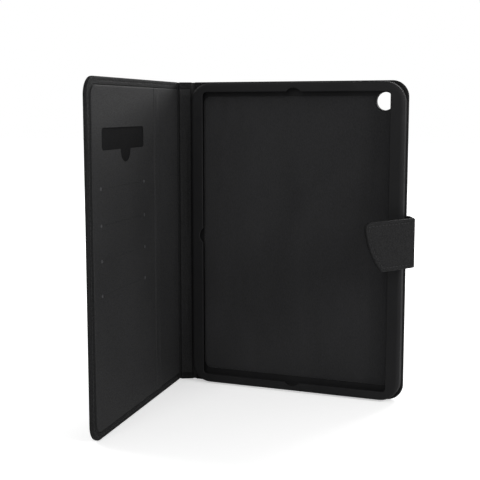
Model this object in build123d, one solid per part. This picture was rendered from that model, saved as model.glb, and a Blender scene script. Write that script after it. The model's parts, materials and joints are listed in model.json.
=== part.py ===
from build123d import *
import math
import os

os.makedirs("parts", exist_ok=True)

# Book-style case for a 9.7 inch tablet, standing on its lower edge.
# X runs to the right along the back panel, Y away from the open side, Z up.
# x = 0 is the middle of the tray, y = 0 the middle of the back panel's thickness,
# z = 0 the lower edge that the case stands on.

# ---- overall sizes ----
panel_height = 252.0
panel_corner = 13.0
skin = 0.7
board = 1.5
lining = 0.6
half = (skin + board + lining) / 2
fit_gap = 0.03
rim = 5.5
edge_round = 0.6

# ---- tray that holds the tablet ----
tray_width = 178.0
tray_height = 250.0
tray_corner = 16.0
tray_back = -half - 0.2
tray_front = tray_back - 9.6
tray_floor = 1.0
lip = 1.2
bay_width = 170.1
bay_height = 240.6
bay_corner = 10.0
mouth_width = 156.0
mouth_height = 235.2
mouth_corner = 3.0
notch_radius = 7.5
notch_inset = 4.5
mid_z = panel_height / 2

# ---- camera window and wall slots ----
camera_x = 72.0
camera_z = 236.0
camera_radius = 7.0
port_width = 60.0
slot_depth = 5.6

# ---- folds ----
fold_clear = 1.7
fold_back_x = -(tray_width / 2 + half + 0.3)
spine_reach = 14.0
cover_free_x = 89.0
back_free_x = 90.0
cover_width = cover_free_x - fold_back_x
spine_rest = 26.0
cover_rest = 69.5

# ---- closing strap ----
strap_half = 1.2
flap_half = 1.4
strap_height = 38.0
strap_mid = 129.0
strap_root_x = back_free_x + strap_half + 0.3
strap_reach = 18.2
strap_rest = 24.0
flap_rest = 54.0
flap_length = 52.0

# ---- pockets on the inside of the cover ----
pocket_share = 0.735
window_s0 = 0.1225 * cover_width
window_s1 = 0.551 * cover_width
window_top = 0.862 * panel_height
window_low = 0.8 * panel_height
thumb_s = 0.3575 * cover_width
thumb_radius = 9.4
slot_levels = [0.6965, 0.5955, 0.498, 0.402]
tack_s0 = 0.106 * cover_width
tack_s1 = 0.549 * cover_width


def slab(x0, x1, z0, z1, y0, y1, corner=0.0, rounded="both"):
    """Flat plate across Y with its four, or its two left or right, corners rounded."""
    plate = Box(x1 - x0, y1 - y0, z1 - z0, align=(Align.MIN, Align.MIN, Align.MIN))
    plate = Pos(x0, y0, z0) * plate
    if corner > 0:
        upright = plate.edges().filter_by(Axis.Y)
        if rounded == "left":
            upright = upright.sort_by(Axis.X)[:2]
        if rounded == "right":
            upright = upright.sort_by(Axis.X)[-2:]
        plate = fillet(upright, corner)
    return plate


def through_y(x, z, radius, y0, y1):
    """Round bar along Y from y0 to y1."""
    bar = Cylinder(radius, y1 - y0, rotation=(90, 0, 0))
    return Pos(x, (y0 + y1) / 2, z) * bar


def soften(solid, y, radius):
    """Round the edges of the solid's outline that lie in the plane at y."""
    around = solid.edges().filter_by_position(Axis.Y, y - 0.01, y + 0.01)
    return fillet(around, radius)


def wrapped_skin(x0, x1, free, corner, height0, height1):
    """Outer sheet whose free edges turn round the board to the inside as a rim."""
    body = slab(x0, x1, height0, height1, -half, half, corner, free)
    body = soften(body, half, edge_round)
    inner_corner = corner - skin
    x_low = x0 + skin
    x_high = x1 - skin
    core = slab(x_low, x_high, height0 + skin, height1 - skin, -half + lining, half - skin,
                inner_corner, free)
    r_low = x0 - 1 if free == "right" else x0 + rim
    r_high = x1 + 1 if free == "left" else x1 - rim
    sunk = slab(r_low, r_high, height0 + rim, height1 - rim, -half - 1, -half + lining,
                corner - rim, free)
    return body - core - sunk


def board_for(x0, x1, free, corner):
    """Stiffening board inside a wrapped skin."""
    inset = skin + fit_gap
    return slab(x0 + inset, x1 - inset, inset, panel_height - inset,
                -half + lining + fit_gap, half - skin - fit_gap, corner - inset, free)


def lining_for(x0, x1, free, corner):
    """Sheet laid into the rim of a wrapped skin."""
    inset = rim + fit_gap
    r_low = x0 + fit_gap if free == "right" else x0 + inset
    r_high = x1 - fit_gap if free == "left" else x1 - inset
    return slab(r_low, r_high, inset, panel_height - inset, -half,
                -half + lining - fit_gap, corner - inset, free)


def save(solid, name):
    export_step(solid, "parts/" + name + ".step")


# ======================= back panel =======================
back_x0 = fold_back_x + fold_clear
camera_cut = through_y(camera_x, camera_z, camera_radius, tray_back - tray_floor - 0.5, 20)
back_skin = wrapped_skin(back_x0, back_free_x, "right", panel_corner, 0, panel_height)
back_skin = back_skin - camera_cut
back_board = board_for(back_x0, back_free_x, "right", panel_corner) - camera_cut
back_lining = lining_for(back_x0, back_free_x, "right", panel_corner) - camera_cut

# The strap's anchored end is let into the outer side of the board.
anchor_x0 = back_free_x - 24.0
anchor_x1 = back_free_x - skin - fit_gap
anchor_z0 = strap_mid - strap_height / 2
anchor_z1 = strap_mid + strap_height / 2
anchor_pocket = slab(anchor_x0 - 0.3, anchor_x1 + 1, anchor_z0 - 0.3, anchor_z1 + 0.3,
                     half - skin - 0.8, half - skin)
back_board = back_board - anchor_pocket
strap_anchor_tab = slab(anchor_x0, anchor_x1, anchor_z0, anchor_z1,
                        half - skin - 0.77, half - skin - fit_gap, 3.0, "left")

save(back_skin, "back_skin")
save(back_board, "back_board")
save(back_lining, "back_lining")
save(strap_anchor_tab, "strap_anchor_tab")

# ======================= tray =======================
tray_x = tray_width / 2
tray_z0 = mid_z - tray_height / 2
tray_z1 = mid_z + tray_height / 2
tray = slab(-tray_x, tray_x, tray_z0, tray_z1, tray_front, tray_back, tray_corner)
tray = soften(tray, tray_front, 3.0)
tray = soften(tray, tray_back, 0.8)
bay = slab(-bay_width / 2, bay_width / 2, mid_z - bay_height / 2, mid_z + bay_height / 2,
           tray_front + lip, tray_back - tray_floor, bay_corner)
mouth = slab(-mouth_width / 2, mouth_width / 2, mid_z - mouth_height / 2,
             mid_z + mouth_height / 2, tray_front - 1, tray_front + lip + 0.1, mouth_corner)
tray = tray - bay - mouth
for side in (-1, 1):
    edge_x = side * (mouth_width / 2 - notch_inset)
    edge_z = mid_z + side * (mouth_height / 2 - notch_inset)
    tray = tray - through_y(edge_x, mid_z, notch_radius, tray_front - 1, tray_front + lip + 0.1)
    tray = tray - through_y(0, edge_z, notch_radius, tray_front - 1, tray_front + lip + 0.1)

# The front edge of the lip is rounded where the tablet slides past it.
lip_edges = []
for edge in tray.edges():
    middle = edge.center()
    in_front = abs(middle.Y - tray_front) < 0.02
    if in_front and abs(middle.X) < mouth_width / 2 + 4 and abs(middle.Z - mid_z) < mouth_height / 2 + 4:
        lip_edges.append(edge)
tray = fillet(lip_edges, 0.5)

# Slots in the lower wall for the charging socket and in the upper wall for the buttons.
slot_y = (tray_front + lip + tray_back - tray_floor) / 2
slot_y0 = slot_y - slot_depth / 2
slot_y1 = slot_y + slot_depth / 2
wall_slots = [(-port_width / 2, port_width / 2, tray_z0 - 1, tray_z0 + 6.5)]
for middle in (-63.0, 61.0):
    wall_slots.append((middle - 8.0, middle + 8.0, tray_z1 - 6.5, tray_z1 + 1))
for x0, x1, z0, z1 in wall_slots:
    cutter = Box(x1 - x0, slot_depth, z1 - z0)
    cutter = fillet(cutter.edges().filter_by(Axis.Z), 2.5)
    tray = tray - Pos((x0 + x1) / 2, slot_y, (z0 + z1) / 2) * cutter
tray = tray - camera_cut

tray_floor_pad = slab(-80, 80, 12, 240, tray_back - tray_floor - 0.6,
                      tray_back - tray_floor - fit_gap, 6.0)
tray_floor_pad = tray_floor_pad - through_y(camera_x, camera_z, 8.5, -20, 20)
tray_bond_sheet = slab(-84, 84, 6, 246, tray_back + fit_gap, -half - fit_gap, 12.0)
tray_bond_sheet = tray_bond_sheet - through_y(camera_x, camera_z, 8.5, -20, 20)

save(tray, "tray_frame")
save(tray_floor_pad, "tray_floor_pad")
save(tray_bond_sheet, "tray_bond_sheet")

# ======================= spine, made flat and then folded =======================
fold_cover_x = fold_back_x - spine_reach
spine_x0 = fold_cover_x + fold_clear
spine_x1 = fold_back_x - fold_clear
spine_body = slab(spine_x0, spine_x1, 0, panel_height, -half, half)
spine_core = slab(spine_x0 + skin, spine_x1 - skin, skin, panel_height - skin,
                  -half + lining, half - skin)
spine_sunk = slab(spine_x0 - 1, spine_x1 + 1, rim, panel_height - rim, -half - 1, -half + lining)
spine_skin = spine_body - spine_core - spine_sunk
inset = skin + fit_gap
spine_board = slab(spine_x0 + inset, spine_x1 - inset, inset, panel_height - inset,
                   -half + lining + fit_gap, half - skin - fit_gap)
spine_lining = slab(spine_x0 + fit_gap, spine_x1 - fit_gap, rim + fit_gap,
                    panel_height - rim - fit_gap, -half, -half + lining - fit_gap)


def turned(solid, axis_x, axis_y, angle):
    """Turn a solid about the upright line at (axis_x, axis_y)."""
    return Pos(axis_x, axis_y, 0) * Rot(0, 0, angle) * Pos(-axis_x, -axis_y, 0) * solid


def on_spine(solid):
    return turned(solid, fold_back_x, 0, spine_rest)


def on_cover(solid):
    return on_spine(turned(solid, fold_cover_x, 0, cover_rest))


save(on_spine(spine_skin), "spine_skin")
save(on_spine(spine_board), "spine_board")
save(on_spine(spine_lining), "spine_lining")

# ======================= cover, made flat and then folded =======================
cover_x0 = fold_cover_x - cover_width
cover_x1 = fold_cover_x - fold_clear
cover_skin = wrapped_skin(cover_x0, cover_x1, "left", panel_corner, 0, panel_height)
cover_board = board_for(cover_x0, cover_x1, "left", panel_corner)
cover_lining = lining_for(cover_x0, cover_x1, "left", panel_corner)

# Wake magnets sit in round holes through the board near the free edge.
magnet_radius = 4.0
magnet_spots = []
for level in (0.72, 0.78, 0.84):
    magnet_spots.append((cover_x0 + 14.0, level * panel_height))
sleep_magnets = []
for x, z in magnet_spots:
    cover_board = cover_board - through_y(x, z, magnet_radius + 0.1, -5, 5)
    sleep_magnets.append(through_y(x, z, magnet_radius, -half + lining + 0.1, half - skin - 0.1))

# A thin steel plate under the outer skin catches the magnets of the strap flap.
plate_x0 = cover_x0 + 8.0
plate_x1 = cover_x0 + 46.0
plate_z0 = strap_mid - 15.0
plate_z1 = strap_mid + 15.0
cover_board = cover_board - slab(plate_x0 - 0.2, plate_x1 + 0.2, plate_z0 - 0.2, plate_z1 + 0.2,
                                 half - skin - 0.5, half)
strap_catch_plate = slab(plate_x0, plate_x1, plate_z0, plate_z1, half - skin - 0.47,
                         half - skin - fit_gap, 3.0)

# Pocket panel: glued along three sides, open along the upright side towards the spine.
sheet = 0.5
bag = 0.3
panel_y0 = -half - bag - sheet
panel_y1 = -half - fit_gap
pocket_x0 = cover_x0 + rim + 0.4
pocket_x1 = cover_x0 + pocket_share * cover_width
pocket_z0 = rim + 0.4
pocket_z1 = panel_height - rim - 0.4
pocket_panel = slab(pocket_x0, pocket_x1, pocket_z0, pocket_z1, panel_y0, panel_y1,
                    panel_corner - rim, "left")
pocket_panel = pocket_panel - slab(pocket_x0 + 4, pocket_x1 + 1, pocket_z0 + 4, window_top + 4,
                                   panel_y0 + sheet, panel_y1 + 1)
window = slab(cover_x0 + window_s0, cover_x0 + window_s1, window_low, window_top,
              panel_y0 - 1, panel_y1 + 1, 3.0)
thumb = through_y(cover_x0 + thumb_s, window_low, thumb_radius, panel_y0 - 1, panel_y1 + 1)
pocket_panel = pocket_panel - window - thumb
pocket_panel = soften(pocket_panel, panel_y0, 0.2)
slot_tacks = []
for level in slot_levels:
    z = level * panel_height
    pocket_panel = pocket_panel - slab(cover_x0 + tack_s0 + 1.6, cover_x0 + tack_s1 - 1.6,
                                       z - 0.2, z + 0.2, panel_y0 - 1, panel_y1 + 1)
    for s in (tack_s0, tack_s1):
        slot_tacks.append(through_y(cover_x0 + s, z, 1.2, panel_y0 - 0.3, panel_y0 - 0.01))
pocket_backing = slab(cover_x0 + 13, pocket_x1 - 6, 40, window_top + 3,
                      panel_y0 + sheet + 0.03, panel_y1 - 0.02, 4.0)

save(on_cover(cover_skin), "cover_skin")
save(on_cover(cover_board), "cover_board")
save(on_cover(cover_lining), "cover_lining")
save(on_cover(strap_catch_plate), "strap_catch_plate")
save(on_cover(pocket_panel), "pocket_panel")
save(on_cover(pocket_backing), "pocket_backing")
save(on_cover(Compound(sleep_magnets)), "sleep_magnets")
save(on_cover(Compound(slot_tacks)), "slot_tacks")

# ======================= strap, made straight out to the right and then folded ============
strap_x0 = strap_root_x + half + 0.3
strap_x1 = strap_root_x + strap_reach - flap_half - 0.4
strap_z0 = strap_mid - strap_height / 2
strap_z1 = strap_mid + strap_height / 2
wrap = 0.6
strap_body = slab(strap_x0, strap_x1, strap_z0, strap_z1, -strap_half, strap_half)
strap_core_cut = slab(strap_x0 + wrap, strap_x1 - wrap, strap_z0 + wrap, strap_z1 - wrap,
                      -strap_half + wrap, strap_half - wrap)
strap_sunk = slab(strap_x0 - 1, strap_x1 + 1, strap_z0 + 3, strap_z1 - 3, -strap_half - 1,
                  -strap_half + wrap)
strap_side_skin = strap_body - strap_core_cut - strap_sunk
inset = wrap + fit_gap
strap_side_core = slab(strap_x0 + inset, strap_x1 - inset, strap_z0 + inset, strap_z1 - inset,
                       -strap_half + inset, strap_half - inset)
strap_side_lining = slab(strap_x0 + fit_gap, strap_x1 - fit_gap, strap_z0 + 3 + fit_gap,
                         strap_z1 - 3 - fit_gap, -strap_half, -strap_half + wrap - fit_gap)

# Flap outline: level upper edge, small upper tip corner, long slanting curve below.
flap_x = strap_root_x + strap_reach
flap_x0 = flap_x + strap_half + 0.3
tip_high = (flap_x + flap_length, strap_mid + 13.0)
tip_mid = (flap_x + flap_length - 4.6, strap_mid - 1.5)
tip_low = (flap_x + flap_length - 13.0, strap_mid - 14.5)


def flap_outline():
    """Closed outline of the flap as seen square on."""
    top_end = (flap_x + flap_length - 5.0, strap_z1)
    low_end = (flap_x + flap_length - 18.5, strap_z0)
    upper = Line((flap_x0, strap_z1), top_end)
    corner = TangentArc(top_end, tip_high, tangent=(1, 0))
    slant = ThreePointArc(tip_high, tip_mid, tip_low)
    turn = TangentArc(low_end, tip_low, tangent=(1, 0))
    lower = Line(low_end, (flap_x0, strap_z0))
    inner = Line((flap_x0, strap_z0), (flap_x0, strap_z1))
    return make_face([upper, corner, slant, turn, lower, inner])


def flap_layer(outline, y0, y1):
    """The outline, drawn in X and Z, as a plate between y0 and y1."""
    flat = extrude(outline, amount=y1 - y0)
    upright = Rot(90, 0, 0) * flat
    return Pos(0, y1, 0) * upright


whole = flap_outline()
flap_body = flap_layer(whole, -flap_half, flap_half)
flap_body = soften(flap_body, flap_half, 0.9)
core_outline = offset(whole, amount=-skin)
flap_core_cut = flap_layer(core_outline, -flap_half + lining, flap_half - skin)
lining_outline = offset(whole, amount=-3.0)
flap_sunk = flap_layer(lining_outline, -flap_half - 1, -flap_half + lining)
flap_skin = flap_body - flap_core_cut - flap_sunk
flap_core = flap_layer(offset(whole, amount=-skin - fit_gap), -flap_half + lining + fit_gap,
                       flap_half - skin - fit_gap)
flap_lining = flap_layer(offset(whole, amount=-3.0 - fit_gap), -flap_half,
                         -flap_half + lining - fit_gap)
flap_magnets = []
for dz in (-8.0, 8.0):
    x = flap_x + 28.0
    z = strap_mid + dz
    flap_core = flap_core - through_y(x, z, 5.1, -5, 5)
    flap_magnets.append(through_y(x, z, 5.0, -flap_half + lining + 0.1, flap_half - skin - 0.1))


def on_strap(solid):
    return turned(solid, strap_root_x, 0, -90 + strap_rest)


def on_flap(solid):
    return on_strap(turned(solid, flap_x, 0, -flap_rest))


save(on_strap(strap_side_skin), "strap_side_skin")
save(on_strap(strap_side_core), "strap_side_core")
save(on_strap(strap_side_lining), "strap_side_lining")
save(on_flap(flap_skin), "flap_skin")
save(on_flap(flap_core), "flap_core")
save(on_flap(flap_lining), "flap_lining")
save(on_flap(Compound(flap_magnets)), "flap_magnets")
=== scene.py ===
import json
import math

import bpy
import numpy as np
from mathutils import Matrix, Vector


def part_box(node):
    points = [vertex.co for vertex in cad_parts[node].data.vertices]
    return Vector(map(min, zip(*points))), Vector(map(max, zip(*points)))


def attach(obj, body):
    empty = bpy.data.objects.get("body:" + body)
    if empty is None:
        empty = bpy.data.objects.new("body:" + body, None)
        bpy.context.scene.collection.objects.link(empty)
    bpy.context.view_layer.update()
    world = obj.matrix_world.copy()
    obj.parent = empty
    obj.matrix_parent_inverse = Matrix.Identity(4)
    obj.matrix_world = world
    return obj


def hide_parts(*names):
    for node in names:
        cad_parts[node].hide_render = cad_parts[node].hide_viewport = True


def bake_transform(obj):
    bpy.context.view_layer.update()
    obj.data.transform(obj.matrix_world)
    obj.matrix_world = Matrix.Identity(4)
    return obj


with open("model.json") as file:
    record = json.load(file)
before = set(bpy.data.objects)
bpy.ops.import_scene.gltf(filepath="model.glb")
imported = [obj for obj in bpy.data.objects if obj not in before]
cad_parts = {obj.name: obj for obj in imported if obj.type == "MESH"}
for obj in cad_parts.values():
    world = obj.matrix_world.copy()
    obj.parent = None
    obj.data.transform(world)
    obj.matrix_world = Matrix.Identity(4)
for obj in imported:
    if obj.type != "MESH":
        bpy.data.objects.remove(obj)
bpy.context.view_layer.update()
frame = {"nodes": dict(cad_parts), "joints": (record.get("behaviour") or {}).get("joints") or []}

# ======================= fold lines =======================
# The case turns on four upright lines: back panel to spine, spine to cover, back panel to
# strap, strap to flap. Each stiff piece is laid out flat from its own line and then turned.
fold_at = {joint["name"]: np.array(joint["pos_m"][:2], float) for joint in frame["joints"]}
spine_open, cover_open = 26.0, 69.5
strap_open, flap_open = -66.0, -54.0
spine_turn = math.radians(spine_open)
cover_turn = math.radians(spine_open + cover_open)
strap_turn = math.radians(strap_open)
flap_turn = math.radians(strap_open + flap_open)
mid_z = 0.126
stands = {"back": (fold_at["spine_fold"], 0.0, 1),
          "spine": (fold_at["spine_fold"], spine_turn, -1),
          "cover": (fold_at["cover_fold"], cover_turn, -1),
          "strap_side": (fold_at["strap_fold"], strap_turn, 1),
          "strap_flap": (fold_at["flap_fold"], flap_turn, 1)}


def turned(u, n, z, origin, turn, way):
    """Points u out from a fold line and n towards the outer face, turned about that line."""
    x, y, z = np.broadcast_arrays(way * u, n, z)
    c, s = np.cos(turn), np.sin(turn)
    return np.stack([origin[0] + x * c - y * s, origin[1] + x * s + y * c, z], axis=-1)


def standing(body, u, n, z):
    """Points given flat on one stiff piece, carried to where that piece stands at rest."""
    return turned(u, n, z, *stands[body])


def new_piece(name, points, faces, material, body, slot):
    """Mesh piece from points and faces, smooth, faces turned outwards by the sign of its volume."""
    faces = [np.asarray(f) for f in faces]
    fans = [np.stack([f[:, 0], f[:, k], f[:, k + 1]], axis=1) for f in faces
            for k in range(1, f.shape[1] - 1)]
    corners = points[np.vstack(fans)]
    volume = np.einsum("ij,ij->i", corners[:, 0], np.cross(corners[:, 1], corners[:, 2])).sum()
    if volume < 0:
        faces = [f[:, ::-1] for f in faces]
    mesh = bpy.data.meshes.new(name)
    mesh.from_pydata(points.tolist(), [], [row for f in faces for row in f.tolist()])
    mesh.polygons.foreach_set("use_smooth", np.ones(len(mesh.polygons), bool))
    mesh.set_sharp_from_angle(angle=math.radians(50))
    mesh.materials.append(material)
    piece = bpy.data.objects.new(name, mesh)
    bpy.context.scene.collection.objects.link(piece)
    if body:
        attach(piece, body)
    return piece


def ring_faces(count, around, first=0):
    """Quads between rings of points, and a fan at each end to the two points after them."""
    here = np.arange(around)
    there = (here + 1) % around
    row = first + np.arange(count - 1)[:, None] * around
    quads = np.stack([row + here, row + there, row + around + there, row + around + here], -1)
    pole = first + count * around
    last = first + (count - 1) * around
    start = np.stack([first + there, first + here, np.full(around, pole)], axis=-1)
    end = np.stack([last + here, last + there, np.full(around, pole + 1)], axis=-1)
    return [quads.reshape(-1, 4), start, end]


def ringed(rings, poles):
    """Points of stacked rings followed by their two end poles."""
    return np.vstack([rings.reshape(-1, 3), np.asarray(poles, float)])


def closed_piece(name, u, z, n, middle, body, slot, material):
    """Piece from rings of flat points, closed at both faces by a fan about a middle point."""
    poles = standing(body, np.full(2, middle[0]), n[[0, -1]].mean(1), np.full(2, middle[1]))
    return new_piece(name, ringed(standing(body, u, n, z), poles), ring_faces(*u.shape),
                     material, body, slot)


# ======================= leather skin =======================
# Outer material of every panel and of the strap: black synthetic leather with a fine
# pebbled grain. The valleys are duller than the rubbed tops of the pebbles, and their
# colour is darker there as painted shade.
def group_with(name, inputs):
    """New shader node group with the named inputs, giving out a colour, a roughness and a
    normal; comes with the values it is given and the piece's own coordinates."""
    group = bpy.data.node_groups.new(name, "ShaderNodeTree")
    for label, kind, value in inputs:
        socket = group.interface.new_socket(label, in_out="INPUT", socket_type="NodeSocket" + kind)
        socket.default_value = value
    for label, kind in (("Colour", "Color"), ("Roughness", "Float"), ("Normal", "Vector")):
        group.interface.new_socket(label, in_out="OUTPUT", socket_type="NodeSocket" + kind)
    place = group.nodes.new("ShaderNodeTexCoord").outputs["Object"]
    return group, group.nodes.new("NodeGroupInput").outputs, place


def add(tree, kind, links=None, **settings):
    """Adds a node, sets its attributes, and joins or fills the inputs given by name or number."""
    node = tree.nodes.new(kind)
    for key, value in settings.items():
        setattr(node, key, value)
    for key, value in (links or {}).items():
        if isinstance(value, bpy.types.NodeSocket):
            tree.links.new(value, node.inputs[key])
        else:
            node.inputs[key].default_value = value
    return node


def give_out(group, given, tone, rough, bump):
    """Joins a group's results to its output: the given colour times the tone, the roughness
    and the bumped normal."""
    colour = add(group, "ShaderNodeVectorMath", {0: given["Colour"], "Scale": tone.outputs[0]},
                 operation="SCALE")
    add(group, "NodeGroupOutput", {"Colour": colour.outputs[0], "Roughness": rough.outputs[0],
                                   "Normal": bump.outputs[0]})
    return group


def pebble_group():
    """Grain: rounded cells, bent by a noise, with painted shade in their valleys, over slow changes
    of gloss and tone.
    """
    group, given, place = group_with(
        "pebbled grain",
        [("Colour", "Color", (0.02, 0.02, 0.02, 1)), ("Cells per metre", "Float", 900.0),
         ("Depth", "Float", 0.0001), ("Roughness", "Float", 0.5)])
    bend = add(group, "ShaderNodeTexNoise", {"Vector": place, "Scale": 420.0, "Detail": 2.0})
    shift = add(group, "ShaderNodeVectorMath", {0: bend.outputs["Color"], 1: (0.5, 0.5, 0.5)},
                operation="SUBTRACT")
    scaled = add(group, "ShaderNodeVectorMath", {0: shift.outputs[0], "Scale": 0.0011},
                 operation="SCALE")
    bent = add(group, "ShaderNodeVectorMath", {0: place, 1: scaled.outputs[0]}, operation="ADD")
    cells = add(group, "ShaderNodeTexVoronoi",
                {"Vector": bent.outputs[0], "Scale": given["Cells per metre"],
                 "Smoothness": 0.35}, feature="SMOOTH_F1")
    fine = add(group, "ShaderNodeTexNoise", {"Vector": place, "Scale": 4200.0, "Detail": 3.0})
    top = add(group, "ShaderNodeMapRange", {"Value": cells.outputs["Distance"], 1: 0.15, 2: 0.75,
                                            3: 1.0, 4: 0.0}, interpolation_type="SMOOTHSTEP")
    height = add(group, "ShaderNodeMath", {0: fine.outputs["Fac"], 1: 0.18, 2: top.outputs[0]},
                 operation="MULTIPLY_ADD")
    bump = add(group, "ShaderNodeBump", {"Height": height.outputs[0], "Strength": 0.55,
                                         "Distance": given["Depth"]})
    slow = add(group, "ShaderNodeTexNoise", {"Vector": place, "Scale": 14.0, "Detail": 3.0})
    tone = add(group, "ShaderNodeMapRange", {"Value": slow.outputs["Fac"], 1: 0.3, 2: 0.7,
                                             3: 0.88, 4: 1.12})
    # Painted shade: the colour runs from darker in the valleys between the pebbles to a little
    # lighter on their tops.
    valley = add(group, "ShaderNodeMapRange", {"Value": top.outputs[0], 3: 0.62, 4: 1.12})
    both = add(group, "ShaderNodeMath", {0: tone.outputs[0], 1: valley.outputs[0]},
               operation="MULTIPLY")
    dull = add(group, "ShaderNodeMapRange", {"Value": top.outputs[0], 3: 0.12, 4: -0.03})
    gloss = add(group, "ShaderNodeMath", {0: slow.outputs["Fac"], 1: 0.16, 2: dull.outputs[0]},
                operation="MULTIPLY_ADD")
    rough = add(group, "ShaderNodeMath", {0: gloss.outputs[0], 1: given["Roughness"]},
                operation="ADD")
    level = add(group, "ShaderNodeMath", {0: rough.outputs[0], 1: 0.08}, operation="SUBTRACT",
                use_clamp=True)
    return give_out(group, given, both, level, bump)


def finish_from(name, group, values, **surface):
    """Material whose Principled surface takes colour, roughness and normal from a group."""
    material = bpy.data.materials.new(name)
    material.use_nodes = True
    tree = material.node_tree
    shader = tree.nodes["Principled BSDF"]
    effect = add(tree, "ShaderNodeGroup", {}, node_tree=group)
    for key, value in values.items():
        effect.inputs[key].default_value = value
    for result, use in (("Colour", "Base Color"), ("Roughness", "Roughness"), ("Normal", "Normal")):
        tree.links.new(effect.outputs[result], shader.inputs[use])
    for key, value in surface.items():
        shader.inputs[key.replace("_", " ")].default_value = value
    return material


pebble = pebble_group()
skin_black = finish_from("pebbled black leather", pebble,
                         {"Colour": (0.0105, 0.0105, 0.0110, 1), "Cells per metre": 1050.0,
                          "Depth": 0.00016, "Roughness": 0.62}, Specular_IOR_Level=0.15)

# ======================= lining leather =======================
# Inside faces: the same kind of synthetic leather with a much shallower, finer grain,
# flatter in gloss than the outside.
lining_black = finish_from("fine-grained black lining", pebble,
                           {"Colour": (0.0215, 0.0215, 0.0222, 1), "Cells per metre": 1700.0,
                            "Depth": 0.00006, "Roughness": 0.64}, Specular_IOR_Level=0.22)

# ======================= back panel, spine and cover skins =======================
# Each stiff panel is a board in a skin whose edges are turned round to the inside and
# stitched down; the turned rim stands a little above the lining laid inside it.
panel_half = 0.0014
panel_height = 0.252
panel_right = 0.090
panel_corner = 0.013
skin_thick = 0.0007
rim_width = 0.0055
fold_clear = 0.0017
fold_give = 0.0009
seam_inset, seam_dip, seam_spread = 0.0027, 0.00016, 0.00042


def panel_outline(u0, u1, z0, z1, corner, inset, fold_inset, far_inset=None):
    """Closed outline of a panel, shrunk by an inset: straight at the fold side u0, with two
    rounded corners at the side u1, which is free unless it has its own far inset; every inset
    gives the same number of points."""
    low, high = u0 + fold_inset, u1 - (inset if far_inset is None else far_inset)
    foot, head = z0 + inset, z1 - inset
    r = max(corner - inset, 0.0003)
    up = np.linspace(foot, head, 64)
    across = np.linspace(low, high - r, 46)[1:]
    arc = np.linspace(math.pi / 2, 0, 15)[1:-1]
    down = np.linspace(head - r, foot + r, 60)
    u = np.concatenate([np.full(64, low), across, high - r + r * np.cos(arc), np.full(60, high),
                        high - r + r * np.cos(-arc[::-1]), across[::-1]])
    z = np.concatenate([up, np.full(45, head), head - r + r * np.sin(arc), down,
                        foot + r + r * np.sin(-arc[::-1]), np.full(45, foot)])
    return u, z


def hand_ripple(u, z, phase):
    """Slow unevenness of glued leather: a sum of three long sine waves, about 0.1 mm high."""
    return 0.00006 * (np.sin(u * 62 + z * 21 + phase) + np.sin(z * 47 - u * 19 + 2.1 * phase)
                      + 0.7 * np.sin(u * 110 + z * 83 + 3.7 * phase))


def seam_valley(inset):
    """Depth to which a seam draws the skin in: a bell curve about the seam's inset."""
    return seam_dip * np.exp(-((inset - seam_inset) / seam_spread) ** 2)


def skin_profile():
    """Cross-section of a turned skin as inset and height: outer face, seam dip, rounded edge,
    rim, cut edge, and back along the inside of the skin."""
    half, rim, edge_round, cut_round = panel_half, rim_width, 0.0011, 0.00035
    face = np.concatenate([[0.010, 0.0065], np.linspace(0.0042, edge_round, 15)])
    turn = np.linspace(0.12, math.pi - 0.12, 13)
    edge_in = edge_round * (1 - np.sin(turn) ** 0.75)
    edge_up = half * np.sign(np.cos(turn)) * np.abs(np.cos(turn)) ** 0.5
    back = np.append(face[:1:-1], 0.0048)
    cut = np.linspace(0, math.pi / 2, 5)
    cut_in = rim - cut_round + cut_round * np.sin(cut)
    cut_up = -half + cut_round * (1 - np.cos(cut))
    inner_in = np.array([rim, rim - 0.0002, 0.0009, 0.00075, 0.0009, 0.010])
    low, high = -half + skin_thick - 0.0001, half - skin_thick
    inner_up = np.array([low, low + 0.00002, low + 0.00002, 0.0, high, high])
    inset = np.concatenate([face, edge_in, back, cut_in, inner_in])
    height = np.concatenate([half - seam_valley(face), edge_up, -half + seam_valley(back), cut_up,
                             inner_up])
    return inset, height


def drawn_in(ring, middle, share):
    """A ring of (u, z) shrunk towards a middle point to a share of its size."""
    return [centre + (line - centre) * share for line, centre in zip(ring, middle)]


def turned_skin(name, reach, corner, phase, body):
    """Closed skin of one panel: the cross-section carried round the outline, with rings that
    shrink to a middle point across the outer face and across its hidden inner side."""
    inset, height = skin_profile()
    middle = ((fold_clear + reach) / 2, panel_height / 2)
    wide = panel_outline(fold_clear, reach, 0, panel_height, corner, inset[0], 0.001,
                         0.001 if body == "spine" else None)
    rings = []
    for share in np.linspace(0.06, 0.94, 12):
        u, z = drawn_in(wide, middle, share)
        rings.append((u, z, height[0] + hand_ripple(u, z, phase)))
    for step, up in zip(inset, height):
        beside_fold = min(step, fold_give) + 0.02 * max(step - fold_give, 0)
        u, z = panel_outline(fold_clear, reach, 0, panel_height, corner, step, beside_fold,
                             beside_fold if body == "spine" else None)
        calm = min(max((step - 0.003) / 0.006, 0), 1)
        rings.append((u, z, up + calm * hand_ripple(u, z, phase)))
    for share in (0.9, 0.5, 0.1):
        u, z = drawn_in(wide, middle, share)
        rings.append((u, z, np.full(len(u), height[-1])))
    u, z, n = (np.array([ring[k] for ring in rings]) for k in range(3))
    return closed_piece(name, u, z, n, middle, body, "grained_skin", skin_black)


spine_reach = float(np.linalg.norm(fold_at["cover_fold"] - fold_at["spine_fold"]))
back_reach = panel_right - fold_at["spine_fold"][0]
cover_reach = back_reach - 0.001
back_leather = turned_skin("back_leather", back_reach, panel_corner, 0.4, "back")
cover_leather = turned_skin("cover_leather", cover_reach, panel_corner, 1.9, "cover")
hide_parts("cover_skin")
spine_leather = turned_skin("spine_leather", spine_reach - fold_clear, 0.0012, 2.7, "spine")
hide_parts("spine_skin")


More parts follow.
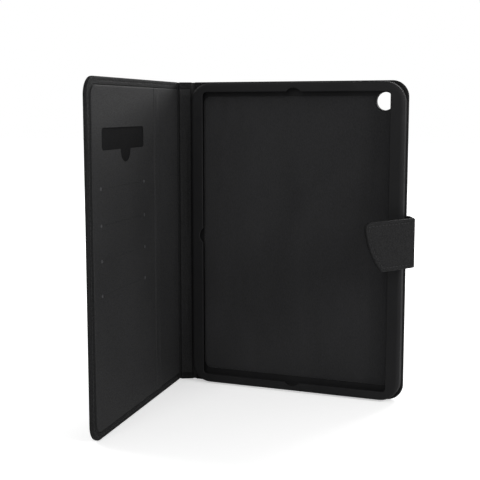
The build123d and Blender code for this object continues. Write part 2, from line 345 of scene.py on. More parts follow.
def cut_out(piece, loops, depth, body):
    """Cuts plain holes through a piece: each loop of (u, z) is carried between two depths and
    taken away, and the cutters are then removed."""
    for loop in loops:
        u, z = loop.T
        rings = np.stack([standing(body, u, level, z) for level in depth])
        cutter = new_piece("hole_cutter", ringed(rings, [ring.mean(0) for ring in rings]),
                           ring_faces(2, len(u)), skin_black, None, "grained_skin")
        hole = piece.modifiers.new("hole", "BOOLEAN")
        hole.operation = "DIFFERENCE"
        hole.object = cutter
        hole.solver = "EXACT"
        bpy.context.view_layer.update()
        view = bpy.context.evaluated_depsgraph_get()
        cut = bpy.data.meshes.new_from_object(piece.evaluated_get(view))
        piece.modifiers.remove(hole)
        piece.data = cut
        bpy.data.objects.remove(cutter)
    piece.data.name = piece.name
    piece.data.set_sharp_from_angle(angle=math.radians(40))


def circle(centre, radius, count=72):
    """Anticlockwise circle of points."""
    angle = np.linspace(0, 2 * math.pi, count, endpoint=False)
    return np.stack([centre[0] + radius * np.cos(angle), centre[1] + radius * np.sin(angle)], -1)


camera_hole = (0.072, 0.236)
cut_out(back_leather, [circle((camera_hole[0] - fold_at["spine_fold"][0], camera_hole[1]), 0.007)],
        (-0.01, 0.01), "back")
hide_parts("back_skin")

# ======================= linings =======================
# A thin sheet of lining leather is glued inside each rim, its edge butting against the
# turned skin and sunk a little below it.


def laid_sheet(name, u0, u1, z0, z1, corner, top, under, phase, body):
    """Closed thin sheet on the inner face: top side with a rounded edge, then its underside."""
    inset = np.array([0.004, 0.0018, 0.0007, 0.0003, 0.0001, 0.0, 0.0, 0.0005, 0.004])
    drop = np.array([0.0, 0.0, 0.03, 0.14, 0.38, 0.7, 1.0, 1.0, 1.0])
    middle = ((u0 + u1) / 2, (z0 + z1) / 2)
    wide = panel_outline(u0, u1, z0, z1, corner, inset[0], inset[0])
    rings = []
    for share in np.linspace(0.06, 0.95, 16):
        u, z = drawn_in(wide, middle, share)
        rings.append((u, z, top + 0.5 * hand_ripple(u, z, phase)))
    for step, fall in zip(inset, drop):
        u, z = panel_outline(u0, u1, z0, z1, corner, step, step)
        rings.append((u, z, np.full(len(u), top + (under - top) * fall)))
    rings.append((*drawn_in(wide, middle, 0.5), np.full(len(u), under)))
    u, z, n = (np.array([ring[k] for ring in rings]) for k in range(3))
    return closed_piece(name, u, z, n, middle, body, "smooth_lining", lining_black)


lining_top = -panel_half + 0.00007
lining_under = -0.00084
lining_gap = 0.00012
lining_edge = rim_width + lining_gap
cover_lining = laid_sheet("cover_lining_sheet", fold_clear + 0.0002, cover_reach - lining_edge,
                          lining_edge, panel_height - lining_edge, panel_corner - rim_width,
                          lining_top, lining_under, 0.8, "cover")
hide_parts("cover_lining")
spine_lining = laid_sheet("spine_lining_sheet", fold_clear + 0.0001,
                          spine_reach - fold_clear - 0.0001, lining_edge,
                          panel_height - lining_edge, 0.0006, lining_top, lining_under, 1.3,
                          "spine")
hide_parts("spine_lining")

# ======================= fold strips =======================
# Between two stiff pieces the skin and lining run on without a board and bend. Outside
# they dip into a shallow valley, inside into a deeper one that leaves room to fold shut.


def bent_strip(name, fold, base_turn, fold_turn, way, outer, inner, z0, z1, reach, slot,
               material):
    """Closed strip across a fold: at each distance x a loop from the outer height to the inner
    height, bent by turning each x part of the way from one side's angle to the other's."""
    x = reach * np.sin(np.linspace(-math.pi / 2, math.pi / 2, 33))
    soft = 0.0026
    share = np.clip((x + soft) / (2 * soft), 0, 1)
    angle = base_turn + share ** 2 * (3 - 2 * share) * fold_turn
    top, low = outer(x), inner(x)
    half, mean = (top - low) / 2, (top + low) / 2
    span = np.linspace(z0, z1, 25)[1:-1]
    bow = np.linspace(-math.pi / 2, math.pi / 2, 7)
    rows_z, rows_n = [], []
    for h, m in zip(half, mean):
        rows_z.append(np.concatenate([span, z1 - h + h * np.cos(bow), span[::-1],
                                      z0 + h - h * np.cos(bow)]))
        rows_n.append(np.concatenate([np.full(23, m - h), m + h * np.sin(bow), np.full(23, m + h),
                                      m - h * np.sin(bow)]))
    z, n = np.array(rows_z), np.array(rows_n)
    rings = turned(x[:, None], n, z, fold_at[fold], angle[:, None], way)
    points = ringed(rings, [rings[0].mean(0), rings[-1].mean(0)])
    piece = new_piece(name, points, ring_faces(len(x), z.shape[1]), material, None, slot)
    ends = turned(np.array([-soft, soft]), np.zeros(2), np.full(2, mid_z), fold_at[fold],
                  np.array([base_turn, base_turn + fold_turn]), way)
    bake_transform(piece)
    return piece


def valley(x, width):
    """One in the middle of a fold, falling smoothly to nothing at the panels' edges."""
    return np.exp(-(x / width) ** 2)


def end_tuck(x, reach, depth):
    """Sinks the last fraction of a millimetre of a strip under the surface beside it."""
    return depth * np.clip((np.abs(x) - reach + 0.0005) / 0.0005, 0, 1) ** 2


strip_reach = 0.0034
foot, head = 0.00025, panel_height - 0.00025


def outer_skin_top(x):
    """Face of the outer skin: level, with a shallow valley in the middle of the fold."""
    return panel_half + 0.00003 - 0.00055 * valley(x, 0.0011) - end_tuck(x, strip_reach, 0.0001)


def outer_skin_low(x):
    """Underside of the outer skin, the same distance below its face everywhere."""
    return outer_skin_top(x) - 0.00062


def inner_skin_low(x):
    """Face of the lining in the fold: level, with a deeper and wider valley."""
    return -panel_half - 0.00001 + 0.0008 * valley(x, 0.0018) + end_tuck(x, strip_reach, 0.0003)


def inner_skin_top(x):
    """Hidden side of that lining, the same distance above its face everywhere."""
    return inner_skin_low(x) + 0.00045


for fold, base, swing, pair in (("spine_fold", 0.0, spine_turn, ("back", "spine")),
                                ("cover_fold", spine_turn, cover_turn - spine_turn,
                                 ("spine", "cover"))):
    bent_strip(fold + "_outer_skin", fold, base, swing, -1, outer_skin_top, outer_skin_low,
               foot, head, strip_reach, "grained_skin", skin_black)
    bent_strip(fold + "_inner_skin", fold, base, swing, -1, inner_skin_top, inner_skin_low,
               foot, head, strip_reach, "smooth_lining", lining_black)

# ======================= card pocket =======================
# One sheet glued down on three sides and open towards the spine, with a window, a thumb
# notch and four knife-cut card slots; dark bag cloth shows through the window.


def cloth_group():
    """Weave: two crossed sets of ribs under a fine fuzz, with the tone following both."""
    group, given, place = group_with(
        "fine cloth",
        [("Colour", "Color", (0.02, 0.02, 0.02, 1)), ("Threads per metre", "Float", 2600.0),
         ("Roughness", "Float", 0.9)])
    ribs = []
    for axis in ("X", "Z"):
        rib = add(group, "ShaderNodeTexWave", {"Vector": place,
                  "Scale": given["Threads per metre"], "Distortion": 0.6},
                  wave_type="BANDS", bands_direction=axis)
        ribs.append(rib.outputs["Fac"])
    weave = add(group, "ShaderNodeMath", {0: ribs[0], 1: ribs[1]}, operation="MULTIPLY")
    fuzz = add(group, "ShaderNodeTexNoise", {"Vector": place, "Scale": 900.0, "Detail": 6.0})
    height = add(group, "ShaderNodeMath", {0: fuzz.outputs["Fac"], 1: 0.6, 2: weave.outputs[0]},
                 operation="MULTIPLY_ADD")
    bump = add(group, "ShaderNodeBump", {"Height": height.outputs[0], "Strength": 0.5,
                                         "Distance": 0.00008})
    tone = add(group, "ShaderNodeMapRange", {"Value": height.outputs[0], 1: 0.2, 2: 1.3,
                                             3: 0.7, 4: 1.25})
    rough = add(group, "ShaderNodeMath", {0: fuzz.outputs["Fac"], 1: 0.1, 2: given["Roughness"]},
                operation="MULTIPLY_ADD", use_clamp=True)
    return give_out(group, given, tone, rough, bump)


cloth = cloth_group()
bag_cloth = finish_from("black bag cloth", cloth,
                        {"Colour": (0.0055, 0.0055, 0.006, 1), "Threads per metre": 2400.0,
                         "Roughness": 0.88}, Specular_IOR_Level=0.1)


def recoat(node, material):
    """Gives a carried-over part its finish on the object's own material slots."""
    for holder in frame["nodes"][node].material_slots:
        holder.link = "OBJECT"
        holder.material = material


pocket_mouth = cover_reach * (1 - 0.735)
pocket_edge = rim_width + 0.0004
pocket_sheet = laid_sheet("card_pocket", pocket_mouth, cover_reach - pocket_edge, pocket_edge,
                          panel_height - pocket_edge, 0.0075, -0.00215, -0.00143, 3.1, "cover")


def round_run(centre, radius, first, last, count):
    """Even points on an arc from angle first to angle last, in degrees, without the last."""
    angle = np.radians(np.linspace(first, last, count, endpoint=False))
    return np.stack([centre[0] + radius * np.cos(angle), centre[1] + radius * np.sin(angle)], -1)


def rounded_box(u0, u1, z0, z1, r):
    """Anticlockwise rounded rectangle of points."""
    return np.vstack([round_run((u1 - r, z0 + r), r, -90, 0, 8),
                      round_run((u1 - r, z1 - r), r, 0, 90, 8),
                      round_run((u0 + r, z1 - r), r, 90, 180, 8),
                      round_run((u0 + r, z0 + r), r, 180, 270, 8)])


window_u = (cover_reach * (1 - 0.551), cover_reach * (1 - 0.1225))
window_z = (0.8 * panel_height, 0.862 * panel_height)
thumb = (cover_reach * (1 - 0.3575), window_z[0])
slot_u = (cover_reach * (1 - 0.549), cover_reach * (1 - 0.106))
slot_z = np.array([0.6965, 0.5955, 0.498, 0.402]) * panel_height
thumb_radius = 0.0094
slot_half = 0.00004
cut_out(pocket_sheet,
        [rounded_box(*window_u, *window_z, 0.003), circle(thumb, thumb_radius)]
        + [rounded_box(*slot_u, level - slot_half, level + slot_half, 0.00003) for level in slot_z],
        (-0.004, -0.0012), "cover")
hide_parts("pocket_panel")

# The pocket's open edge is bound with a folded strip of the same lining.
hem_width = 0.0117
hem_edge = rim_width + 0.0005
laid_sheet("pocket_hem", pocket_mouth - 0.0002, pocket_mouth + hem_width, hem_edge,
           panel_height - hem_edge, 0.0004, -0.00238, -0.00195, 3.1, "cover")
recoat("pocket_backing", bag_cloth)

# ======================= bar tacks =======================
# A small polished metal tack is pressed through the pocket sheet at each end of each card
# slot, so that the cut can't run on into the sheet.
tack_metal = finish_from("dark polished tack", pebble,
                         {"Colour": (0.11, 0.11, 0.115, 1), "Cells per metre": 3000.0,
                          "Depth": 0.00002, "Roughness": 0.34}, Metallic=0.6)
tack_radius = 0.00125
tack_foot = -0.00220
tack_rise, tack_sunk = 0.0003, 0.00006


def tack_points():
    """Eight low domes: rings whose height falls as a power of the distance out, then one more
    ring sunk in the sheet."""
    share = np.append(np.linspace(0.12, 1, 7), 1)[:, None]
    height = tack_foot - tack_rise * (1 - share ** 2.4)
    height[-1] += tack_sunk
    angle = np.linspace(0, 2 * math.pi, 20, endpoint=False)
    points, faces = [], []
    for middle_u in slot_u:
        for middle_z in slot_z:
            rings = standing("cover", middle_u + tack_radius * share * np.cos(angle), height,
                             middle_z + tack_radius * share * np.sin(angle))
            poles = standing("cover", np.full(2, middle_u),
                             np.array([tack_foot - tack_rise, tack_foot + tack_sunk]),
                             np.full(2, middle_z))
            faces += ring_faces(len(share), len(angle), sum(len(tack) for tack in points))
            points.append(ringed(rings, poles))
    return np.vstack(points), faces


tacks = new_piece("bar_tacks", *tack_points(), tack_metal, "cover", "tack_thread")
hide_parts("slot_tacks")

# ======================= seams =======================
# Black sewing thread runs round each panel and round the flap, sunk in the seam's dip;
# every stitch is a short plump lozenge of thread.
thread_black = finish_from("waxed black thread", cloth,
                           {"Colour": (0.019, 0.019, 0.020, 1), "Threads per metre": 5200.0,
                            "Roughness": 0.55}, Specular_IOR_Level=0.45)
stitch_pitch = 0.0034
stitch_length = 0.0027
stitch_thick = 0.00021


def stitched(name, u, z, height, body):
    """Stitches along an open line of points: a lozenge whose thickness follows a flattened
    circle along its length, placed at even steps of arc length and turned to the line."""
    step = np.hypot(np.diff(u), np.diff(z))
    along = np.concatenate([[0], np.cumsum(step)])
    centres = np.arange(stitch_pitch / 2, along[-1], stitch_pitch)
    cu, cz = np.interp(centres, along, u), np.interp(centres, along, z)
    du = np.interp(centres + 0.0005, along, u) - np.interp(centres - 0.0005, along, u)
    dz = np.interp(centres + 0.0005, along, z) - np.interp(centres - 0.0005, along, z)
    size = np.hypot(du, dz)
    du, dz = du / size, dz / size
    t = np.linspace(-0.8, 0.8, 5)
    plump = np.sqrt(1 - t ** 4)
    angle = np.linspace(0, 2 * math.pi, 6, endpoint=False)
    lengthwise = (t[:, None] * stitch_length / 2 + 0 * angle).ravel()
    across = (stitch_thick * plump[:, None] * np.cos(angle)).ravel()
    upward = (stitch_thick * plump[:, None] * np.sin(angle)).ravel()
    lengthwise = np.append(lengthwise, [-stitch_length / 2, stitch_length / 2])
    across, upward = np.append(across, [0, 0]), np.append(upward, [0, 0])
    slant = 0.10
    pu = cu[:, None] + du[:, None] * lengthwise - dz[:, None] * (across + slant * lengthwise)
    pz = cz[:, None] + dz[:, None] * lengthwise + du[:, None] * (across + slant * lengthwise)
    pn = height + upward[None, :] + 0 * pu
    points = standing(body, pu, pn, pz).reshape(-1, 3)
    faces = []
    for number in range(len(cu)):
        faces += ring_faces(len(t), len(angle), number * len(lengthwise))
    return new_piece(name, points, faces, thread_black, body, "grained_skin")


def seam_line(u0, u1, corner):
    """The seam's path round the three free sides of a panel."""
    u, z = panel_outline(u0, u1, 0, panel_height, corner, seam_inset, 0.003)
    u, z = np.roll(u, -63), np.roll(z, -63)
    return u[:-62], z[:-62]


seam_height = {"outer": panel_half - 0.00010, "inner": -panel_half + 0.00010}
for body, reach, side in (("back", back_reach, "outer"), ("cover", cover_reach, "outer"),
                          ("cover", cover_reach, "inner")):
    stitched(f"{body}_seam_{side}", *seam_line(fold_clear, reach, panel_corner), seam_height[side],
             body)

stitched("pocket_hem_seam", np.full(2, pocket_mouth + hem_width - 0.0018),
         np.array([0.009, panel_height - 0.009]), -0.00230, "cover")

# ======================= tray =======================
# One moulding of black plastic with a satin soft-touch coat: floor, four walls and the
# lip that holds the tablet. Its surface has a very fine even texture.


def moulded_group():
    """Moulded surface: a fine sparkle of bumps, faint flow marks and handling gloss."""
    group, given, place = group_with(
        "moulded surface",
        [("Colour", "Color", (0.02, 0.02, 0.02, 1)), ("Roughness", "Float", 0.5),
         ("Depth", "Float", 0.00003)])
    spark = add(group, "ShaderNodeTexNoise", {"Vector": place, "Scale": 3200.0, "Detail": 4.0,
                                              "Roughness": 0.6})
    flow = add(group, "ShaderNodeTexNoise", {"Vector": place, "Scale": 22.0, "Detail": 4.0,
                                             "Distortion": 0.8})
    bump = add(group, "ShaderNodeBump", {"Height": spark.outputs["Fac"], "Strength": 0.6,
                                         "Distance": given["Depth"]})
    mixed = add(group, "ShaderNodeMath", {0: spark.outputs["Fac"], 1: 0.3,
                                          2: flow.outputs["Fac"]}, operation="MULTIPLY_ADD")
    tone = add(group, "ShaderNodeMapRange", {"Value": mixed.outputs[0], 1: 0.4, 2: 0.9,
                                             3: 0.85, 4: 1.15})
    change = add(group, "ShaderNodeMapRange", {"Value": mixed.outputs[0], 1: 0.4, 2: 0.9,
                                               3: 0.06, 4: -0.06})
    rough = add(group, "ShaderNodeMath", {0: change.outputs[0], 1: given["Roughness"]},
                operation="ADD", use_clamp=True)
    return give_out(group, given, tone, rough, bump)


moulded = moulded_group()
soft_touch = finish_from("satin soft-touch moulding", moulded,
                         {"Colour": (0.0105, 0.0105, 0.0111, 1), "Roughness": 0.64,
                          "Depth": 0.00005}, Specular_IOR_Level=0.14)
recoat("tray_frame", soft_touch)

# ======================= tray pad =======================
# A thin pad of brushed cloth is glued to the tray floor so that the tablet isn't scratched.
# Its upper corner is cut away round the camera window.


def nap_group():
    """Brushed nap: short streaks leaning one way, with patches brushed lighter and darker."""
    group, given, place = group_with(
        "brushed nap",
        [("Colour", "Color", (0.02, 0.02, 0.02, 1)), ("Roughness", "Float", 0.95)])
    stretch = add(group, "ShaderNodeMapping", {"Vector": place, "Scale": (1.0, 1.0, 0.35)})
    hair = add(group, "ShaderNodeTexNoise", {"Vector": stretch.outputs[0], "Scale": 1500.0,
                                             "Detail": 6.0, "Roughness": 0.7})
    patch = add(group, "ShaderNodeTexNoise", {"Vector": stretch.outputs[0], "Scale": 26.0,
                                              "Detail": 3.0, "Distortion": 0.7})
    height = add(group, "ShaderNodeMath", {0: patch.outputs["Fac"], 1: 0.5,
                                           2: hair.outputs["Fac"]}, operation="MULTIPLY_ADD")
    bump = add(group, "ShaderNodeBump", {"Height": hair.outputs["Fac"], "Strength": 0.7,
                                         "Distance": 0.00018})
    tone = add(group, "ShaderNodeMapRange", {"Value": height.outputs[0], 1: 0.5, 2: 1.0,
                                             3: 0.65, 4: 1.4})
    rough = add(group, "ShaderNodeMath", {0: hair.outputs["Fac"], 1: 0.1, 2: given["Roughness"]},
                operation="MULTIPLY_ADD", use_clamp=True)
    return give_out(group, given, tone, rough, bump)


nap = nap_group()
brushed_black = finish_from("brushed black pad", nap,
                            {"Colour": (0.016, 0.016, 0.017, 1), "Roughness": 0.9},
                            Specular_IOR_Level=0.2, Sheen_Weight=0.25, Sheen_Roughness=0.5)


pad_low, pad_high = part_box("tray_floor_pad")


def inset_loop(loop, inset):
    """A closed loop moved inwards by the same distance everywhere, with mitred corners."""
    step = np.roll(loop, -1, axis=0) - loop
    step = step / np.linalg.norm(step, axis=1)[:, None]
    inward = np.stack([-step[:, 1], step[:, 0]], axis=-1)
    mitre = inward + np.roll(inward, 1, axis=0)
    return loop + 2 * inset * mitre / np.maximum((mitre ** 2).sum(1), 0.5)[:, None]


def run(start, end, count):
    """Even points from start towards end, the last one left for the next run."""
    share = np.linspace(0, 1, count, endpoint=False)[:, None]
    return np.array(start) + (np.array(end) - np.array(start)) * share


def pad_outline():
    """Rounded rectangle with a round bite at the upper right corner, drawn anticlockwise."""
    x0, x1, z0, z1, r = pad_low[0], pad_high[0], pad_low[2], pad_high[2], 0.006
    bite = 0.0085
    low_end = (x1, camera_hole[1] - 0.0063)
    return np.vstack([
        run((x0 + r, z0), (x1 - r, z0), 40), round_run((x1 - r, z0 + r), r, -90, 0, 12),
        run((x1, z0 + r), low_end, 50), run(low_end, (camera_hole[0] + 0.0064, low_end[1]), 1),
        round_run(camera_hole, bite, 318, 151, 30),
        run((camera_hole[0] - 0.0074, z1), (x0 + r, z1), 36),
        round_run((x0 + r, z1 - r), r, 90, 180, 12), run((x0, z1 - r), (x0, z0 + r), 55),
        round_run((x0 + r, z0 + r), r, 180, 270, 12)])


def layered_loop(ring_of, levels, middle, shrink):
    """Rings for a plate whose outline at any inset is ring_of(inset): shares of the way in
    over the face, then levels given as inset and height, then shares over the other face."""
    rings = []
    middle = np.array(middle)
    for share in shrink:
        ring = middle + (ring_of(levels[0][0]) - middle) * share
        rings.append(np.column_stack([ring, np.full(len(ring), levels[0][1])]))
    for inset, height in levels:
        ring = ring_of(inset)
        rings.append(np.column_stack([ring, np.full(len(ring), height)]))
    for share in shrink[::-1]:
        ring = middle + (ring_of(levels[-1][0]) - middle) * share
        rings.append(np.column_stack([ring, np.full(len(ring), levels[-1][1])]))
    return [np.array(rings)[..., k] for k in range(3)]


pad_edge = pad_outline()
pad_face, pad_foot = pad_low[1], pad_high[1]
pad_levels = [(0.0006, pad_face), (0.0003, pad_face + 0.00004), (0.0001, pad_face + 0.00013),
              (0.0, pad_face + 0.0003), (0.0, pad_foot), (0.0006, pad_foot)]
pad_middle = (0.0, mid_z)
pu, pz, pn = layered_loop(lambda inset: inset_loop(pad_edge, inset), pad_levels, pad_middle,
                          np.linspace(0.05, 0.97, 14))
pad_rings = np.stack([pu, pn, pz], axis=-1)
pad = new_piece("tray_pad", ringed(pad_rings, [(0, pad_face, mid_z), (0, pad_foot, mid_z)]),
                ring_faces(len(pad_rings), pu.shape[1]), brushed_black, "back", "brushed_cloth")
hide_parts("tray_floor_pad")

# ======================= strap =======================
# The strap comes out of the back panel's edge, passes the case's side and bends into a
# padded flap. It is foam in a turned leather skin, with lining on the inner face.
strap_half = 0.0012
flap_half = 0.0014
strap_height = 0.038
strap_mid = 0.129
strap_seam = 0.0030
strap_reach = float(np.linalg.norm(fold_at["flap_fold"] - fold_at["strap_fold"]))
strap_low, strap_head = strap_mid - strap_height / 2, strap_mid + strap_height / 2


def edge_reach(u, z, line):
    """Soft distance from each point to an evenly stepped line: a minimum with no creases."""
    gap = np.hypot(u[..., None] - line[:, 0], z[..., None] - line[:, 1])
    near = gap.min(-1)
    soft = 0.0012
    spacing = np.hypot(*np.diff(line, axis=0).T).mean()
    usual = np.sqrt(2 * math.pi * soft * np.maximum(near, 0.001)) / spacing
    return near - soft * np.log(np.exp(-(gap - near[..., None]) / soft).sum(-1) / usual)


def strap_plate(name, ring_of, free, half, plump, middle, body, nodes):
    """Padded leather piece of the strap, closed all round. The faces rise from the free edge
    and dip along the seam by their distance from that edge, and the edge itself is round."""
    turn_in = 0.0013
    bend = np.linspace(0.15, math.pi - 0.15, 13)
    steps = [(step, half) for step in np.linspace(0.0046, turn_in, 15)]
    steps += [(turn_in * (1 - math.sin(a) ** 0.8),
               half * math.copysign(abs(math.cos(a)) ** 0.6, math.cos(a))) for a in bend]
    steps += [(step, -half) for step in np.linspace(turn_in, 0.0046, 15)]
    pu, pz, pn = layered_loop(ring_of, steps, middle, np.linspace(0.06, 0.95, 12))
    reach = edge_reach(pu, pz, free)
    rise = np.clip((reach - turn_in) / 0.006, 0, 1)
    fold_rise = np.clip((pu - pu.min() - 0.0012) / 0.008, 0, 1)
    fold_rise = fold_rise ** 2 * (3 - 2 * fold_rise)
    dip = 0.00020 * np.exp(-((reach - strap_seam) / 0.0005) ** 2)
    lift = plump * rise ** 2 * (3 - 2 * rise) * fold_rise - dip
    row = np.arange(len(pn))[:, None]
    pn = pn + (row < 27) * lift + (row > 39) * dip
    piece = closed_piece(name, pu, pz, pn, middle, body, "grained_skin", skin_black)
    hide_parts(*nodes)
    return piece


side_u0, side_u1 = panel_half + 0.0003, strap_reach - flap_half - 0.0004


def side_ring(inset):
    """Anticlockwise outline of the strap's side: its two fold sides move in only a little."""
    u0, u1 = side_u0 + min(inset, fold_give), side_u1 - min(inset, fold_give)
    z0, z1 = strap_low + inset, strap_head - inset
    return np.vstack([run((u0, z0), (u1, z0), 20), run((u1, z0), (u1, z1), 30),
                      run((u1, z1), (u0, z1), 20), run((u0, z1), (u0, z0), 30)])


side_free = np.vstack([run((side_u0 - 0.01, strap_low), (side_u1 + 0.01, strap_low), 60),
                       run((side_u1 + 0.01, strap_head), (side_u0 - 0.01, strap_head), 60)])
strap_plate("strap_side_leather", side_ring, side_free, strap_half, 0.0,
            ((side_u0 + side_u1) / 2, strap_mid), "strap_side",
            ("strap_side_skin", "strap_side_lining"))

# ======================= flap =======================
# The flap's upper edge is straight, its tip has one small corner above and a long curved
# slant below, like a fin. Two magnets are sealed in its foam.
flap_u0 = strap_half + 0.0003
flap_reach = 0.052


def circle_through(a, b, c):
    """Centre and radius of the circle through three points."""
    a, b, c = complex(*a), complex(*b), complex(*c)
    w = (c - a) / (b - a)
    centre = a + (b - a) * (w - abs(w) ** 2) / (2j * w.imag)
    return np.array([centre.real, centre.imag]), abs(a - centre)


slant_centre, slant_radius = circle_through((flap_reach - 0.013, strap_mid - 0.0145),
                                            (flap_reach - 0.0046, strap_mid - 0.0015),
                                            (flap_reach, strap_mid + 0.013))


def corner_centre(z, radius):
    """Centre of a corner arc that touches both the slant and a level edge."""
    away = math.sqrt((slant_radius - radius) ** 2 - (z - slant_centre[1]) ** 2)
    return np.array([slant_centre[0] + away, z])


low_round, top_round = 0.0045, 0.0050
low_centre = corner_centre(strap_low + low_round, low_round)
top_centre = corner_centre(strap_head - top_round, top_round)
low_angle = math.degrees(math.atan2(*(low_centre - slant_centre)[::-1]))
top_angle = math.degrees(math.atan2(*(top_centre - slant_centre)[::-1]))


def flap_ring(inset):
    """Anticlockwise outline of the flap at an inset: level edges, two corner arcs and the
    slant between them keep their centres while their radii shrink."""
    u0 = flap_u0 + min(inset, fold_give)
    z0, z1 = strap_low + inset, strap_head - inset
    return np.vstack([
        run((u0, z0), (low_centre[0], z0), 24),
        round_run(low_centre, max(low_round - inset, 0.0003), -90, low_angle, 12),
        round_run(slant_centre, slant_radius - inset, low_angle, top_angle, 26),
        round_run(top_centre, max(top_round - inset, 0.0003), top_angle, 90, 14),
        run((top_centre[0], z1), (u0, z1), 30), run((u0, z1), (u0, z0), 30)])


flap_middle = (0.024, strap_mid + 0.001)
flap_free = np.vstack([run((flap_u0 - 0.01, strap_low), (flap_u0, strap_low), 6),
                       flap_ring(0)[:-30],
                       run((flap_u0, strap_head), (flap_u0 - 0.01, strap_head), 6)])
flap = strap_plate("flap_leather", flap_ring, flap_free, flap_half, 0.0004, flap_middle,
                   "strap_flap", ("flap_skin", "flap_core"))

# The flap's inner face is covered by its own piece of lining, inside the turned rim.
flap_lining_levels = [(0.0048, -flap_half - 0.00006), (0.0043, -flap_half - 0.00002),
                      (0.0040, -flap_half + 0.00008), (0.0040, -flap_half + 0.00030)]
flap_lining_rings = layered_loop(flap_ring, flap_lining_levels, flap_middle,
                                 np.linspace(0.08, 0.95, 8))
flap_lining = closed_piece("flap_lining_sheet", *flap_lining_rings, flap_middle, "strap_flap",
                           "smooth_lining", lining_black)
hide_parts("flap_lining")

flap_seam = flap_ring(strap_seam)[1:-30]
for side, height in (("outer", flap_half + 0.00004), ("inner", -flap_half + 0.00006)):
    stitched("flap_seam_" + side, *flap_seam.T, height, "strap_flap")

# ======================= strap bends =======================
# At the back panel a flat tongue of leather comes out of the panel's edge; at the flap the
# skin bends sharply over a thinned line.


tongue_narrow = 0.0002
bend_narrow = 0.0001
bend_reach = 0.0036


def tongue_top(x):
    """Half a millimetre at the panel, widening to the strap's thickness."""
    grow = np.clip((x + 0.0002) / 0.0019, 0, 1)
    full = 0.0006 + (strap_half - 0.00057) * grow ** 2 * (3 - 2 * grow)
    return full - end_tuck(x, strip_reach, 0.0001)


def tongue_low(x):
    """The tongue's other face, its mirror image."""
    return -tongue_top(x)


bent_strip("strap_root_tongue", "strap_fold", 0.0, strap_turn, 1,
           tongue_top, tongue_low, strap_low + tongue_narrow, strap_head - tongue_narrow,
           strip_reach, "grained_skin", skin_black)


def bend_half(x):
    """Half thickness over the bend, growing evenly from the strap's side to the flap's."""
    return strap_half + (flap_half - strap_half) * np.clip((x + 0.0016) / 0.0032, 0, 1)


def flap_bend_top(x):
    """Outer face of the bend, with a faint valley along the thinned line."""
    return (bend_half(x) + 0.00004 - 0.00018 * valley(x, 0.0012)
            - end_tuck(x, bend_reach, 0.00012))


def flap_bend_low(x):
    """Inner face of the bend, with a deep valley along the thinned line."""
    return (-bend_half(x) - 0.00003 + 0.0011 * valley(x, 0.0012)
            + end_tuck(x, bend_reach, 0.00012))


bent_strip("flap_bend", "flap_fold", strap_turn, flap_turn - strap_turn, 1,
           flap_bend_top, flap_bend_low, strap_low + bend_narrow,
           strap_head - bend_narrow, bend_reach, "grained_skin", skin_black)

# ======================= sealed parts =======================
# Boards, foam, tape, adhesive, magnets and the steel catch plate are shut inside the skins
# and show only at a cut edge; each still has the look of its own stuff.
grey_board = finish_from("dark fibre board", nap, {"Colour": (0.06, 0.057, 0.053, 1),
                                                   "Roughness": 0.85})
dark_foam = finish_from("closed-cell foam", moulded, {"Colour": (0.04, 0.04, 0.04, 1),
                                                      "Roughness": 0.9, "Depth": 0.0002})
glue_film = finish_from("adhesive film", moulded, {"Colour": (0.05, 0.05, 0.05, 1),
                                                   "Roughness": 0.35, "Depth": 0.00002})
nickel = finish_from("nickel plate", moulded, {"Colour": (0.60, 0.59, 0.57, 1),
                                               "Roughness": 0.28, "Depth": 0.00001}, Metallic=1.0)
tinned_steel = finish_from("tinned steel sheet", moulded,
                           {"Colour": (0.45, 0.45, 0.46, 1), "Roughness": 0.40,
                            "Depth": 0.00001}, Metallic=1.0)
for node in ("back_board", "cover_board", "spine_board"):
    recoat(node, grey_board)
recoat("back_lining", lining_black)
recoat("strap_side_core", dark_foam)
recoat("tray_bond_sheet", glue_film)
recoat("strap_anchor_tab", bag_cloth)
recoat("strap_catch_plate", tinned_steel)
for node in ("sleep_magnets", "flap_magnets"):
    recoat(node, nickel)

# ======================= floor, light and camera =======================
# A plain white paper sweep under soft, even studio light. Seen straight on, the paper and the
# sky glow a little, so that the sweep stays white without lighting the case.
floor_size = 6.0
floor_mesh = bpy.data.meshes.new("floor")
floor_mesh.from_pydata([(-floor_size, -floor_size, 0), (floor_size, -floor_size, 0),
                        (floor_size, floor_size, 0), (-floor_size, floor_size, 0)], [],
                       [(0, 1, 2, 3)])
floor = bpy.data.objects.new("floor", floor_mesh)
bpy.context.scene.collection.objects.link(floor)
paper = bpy.data.materials.new("white paper")
paper.use_nodes = True
paper_tree = paper.node_tree
paper_surface = paper_tree.nodes["Principled BSDF"].inputs
paper_surface["Base Color"].default_value = (0.92, 0.92, 0.92, 1)
paper_surface["Roughness"].default_value = 0.9
paper_surface["Emission Color"].default_value = (1, 1, 1, 1)
paper_seen = add(paper_tree, "ShaderNodeLightPath").outputs["Is Camera Ray"]
paper_place = add(paper_tree, "ShaderNodeTexCoord").outputs["Object"]
paper_far = add(paper_tree, "ShaderNodeVectorMath", {0: paper_place}, operation="LENGTH")
paper_lift = add(paper_tree, "ShaderNodeMapRange", {"Value": paper_far.outputs["Value"], 1: 0.2,
                                                    2: 1.6, 3: 0.45, 4: 0.9},
                 interpolation_type="SMOOTHSTEP")
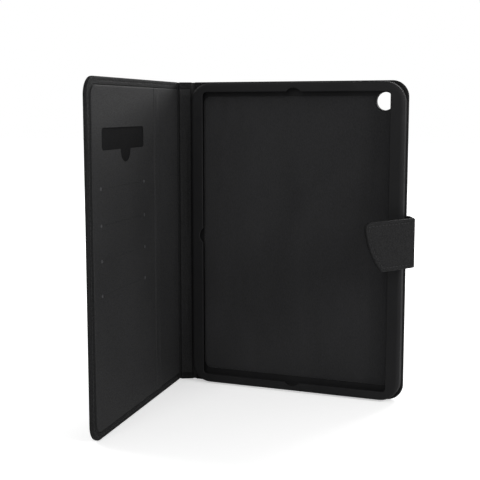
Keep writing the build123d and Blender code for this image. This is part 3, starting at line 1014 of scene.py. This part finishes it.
paper_glow = add(paper_tree, "ShaderNodeMath", {0: paper_seen, 1: paper_lift.outputs[0]},
                 operation="MULTIPLY")
paper_tree.links.new(paper_glow.outputs[0], paper_surface["Emission Strength"])
floor_mesh.materials.append(paper)

world = bpy.data.worlds.new("studio")
bpy.context.scene.world = world
world.use_nodes = True
sky = world.node_tree
sky.nodes["Background"].inputs["Color"].default_value = (1, 1, 1, 1)
sky_seen = add(sky, "ShaderNodeLightPath").outputs["Is Camera Ray"]
sky_level = add(sky, "ShaderNodeMapRange", {"Value": sky_seen, 3: 0.30, 4: 1.0})
sky.links.new(sky_level.outputs[0], sky.nodes["Background"].inputs["Strength"])


def aimed(holder, place, direction):
    """Puts a lamp or camera at a place, looking along a direction, and adds it to the scene."""
    holder.matrix_world = (Matrix.Translation(place)
                           @ direction.to_track_quat("-Z", "Y").to_matrix().to_4x4())
    bpy.context.scene.collection.objects.link(holder)


def soft_lamp(name, place, aim, size, power):
    """Square area lamp at a place, turned to face a point."""
    lamp = bpy.data.lights.new(name, "AREA")
    lamp.shape = "SQUARE"
    lamp.size = size
    lamp.energy = power
    aimed(bpy.data.objects.new(name, lamp), place, Vector(aim) - Vector(place))


case_middle = (0, 0, 0.12)
soft_lamp("key", (1.6, -0.35, 0.75), (-0.05, 0, 0.12), 0.9, 16)
soft_lamp("front", (0.1, -1.7, 0.9), case_middle, 1.1, 10)
soft_lamp("left", (-1.5, 0.2, 0.9), case_middle, 1.0, 12)
soft_lamp("back", (0.3, 1.6, 1.0), case_middle, 1.0, 18)

bpy.context.scene.view_settings.view_transform = "Standard"
camera_yaw, camera_pitch = math.radians(21.64), math.radians(7.46)
lens = bpy.data.cameras.new("camera")
lens.sensor_width = 36.0
lens.lens = 74.3625
viewer = bpy.data.objects.new("camera", lens)
aimed(viewer, (0.2521, -0.7594, 0.2291),
      Vector((-math.sin(camera_yaw) * math.cos(camera_pitch),
              math.cos(camera_yaw) * math.cos(camera_pitch), -math.sin(camera_pitch))))
bpy.context.scene.camera = viewer
